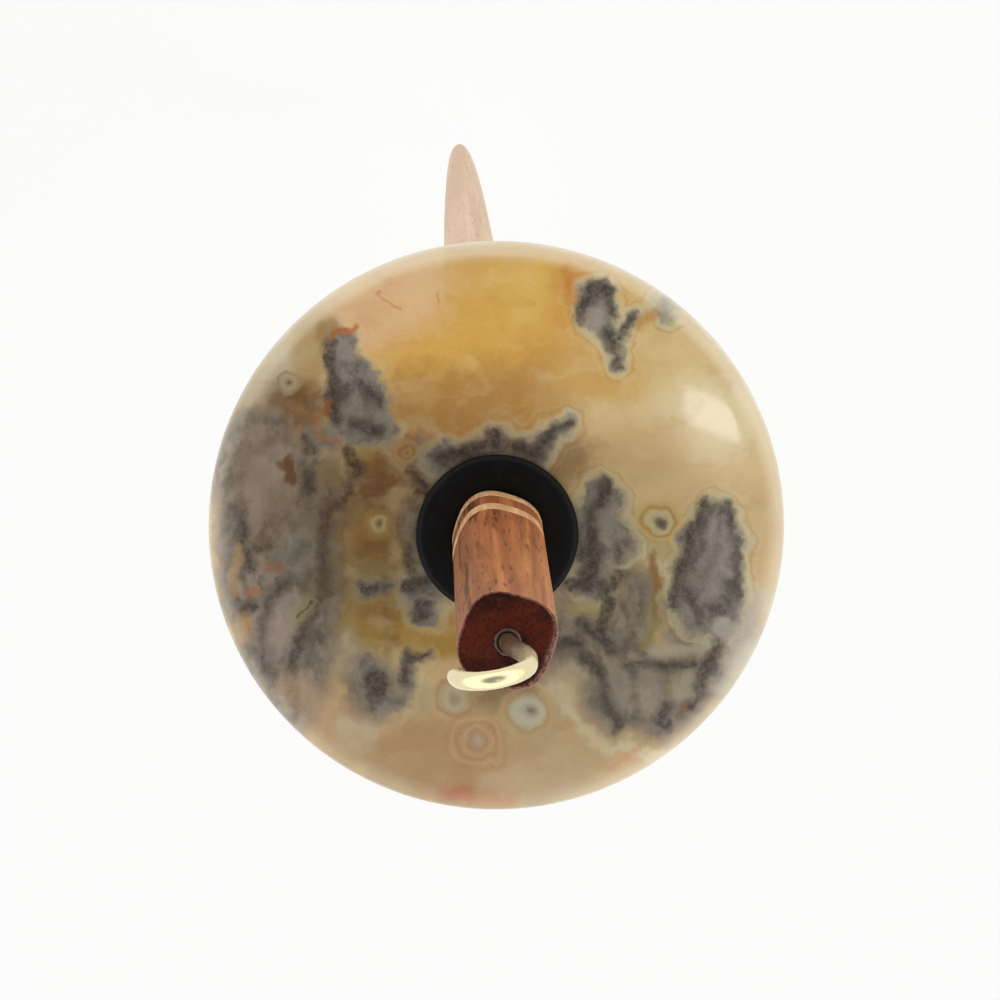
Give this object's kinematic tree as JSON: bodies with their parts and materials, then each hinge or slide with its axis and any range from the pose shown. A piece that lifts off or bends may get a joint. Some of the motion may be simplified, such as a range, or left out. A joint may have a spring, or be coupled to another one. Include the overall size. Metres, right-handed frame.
{
  "type": "drop spindle",
  "caption": "Top-whorl hand spindle: tapered wooden shaft with an inlaid head and a brass yarn hook, and a polished stone ring whorl held on the shaft by a rubber grommet.",
  "frame": {"origin": "the yarn seat: the point on the shaft's axis at the inside of the hook's crown, where the yarn holds the spindle up", "axes": "+Z along the shaft from its tip towards the hook; the hook lies in the XZ plane with its free end towards -X"},
  "size_m": [0.05, 0.05, 0.3089],
  "materials": {
    "shaft_wood": "oiled, pale close-grained wood",
    "inlay_wood": "oiled, pale wood",
    "head_wood": "oiled, open-pored red-brown wood",
    "brass": "polished wire",
    "glue": "dried glue, greyish and half clear",
    "rubber": "matt black",
    "agate": "polished, translucent, lace-banded"
  },
  "bodies": {
    "spindle": {"shaft": "shaft_wood", "rear_inlay_ring": "inlay_wood", "accent_band": "head_wood", "front_inlay_ring": "inlay_wood", "head": "head_wood", "yarn_hook": "brass", "hook_glue": "glue"},
    "grommet": {"rubber_grommet": "rubber"},
    "whorl": {"whorl_stone": "agate"}
  },
  "joints": [
    {"name": "whorl_slide", "type": "slide", "parent": "spindle", "child": "grommet", "axis": [0, 0, -1], "range_m": [0, 0.245]},
    {"name": "whorl_turn", "type": "hinge", "parent": "grommet", "child": "whorl", "pos_m": [0, 0, -0.0665], "axis": [0, 0, 1], "continuous": true}
  ]
}
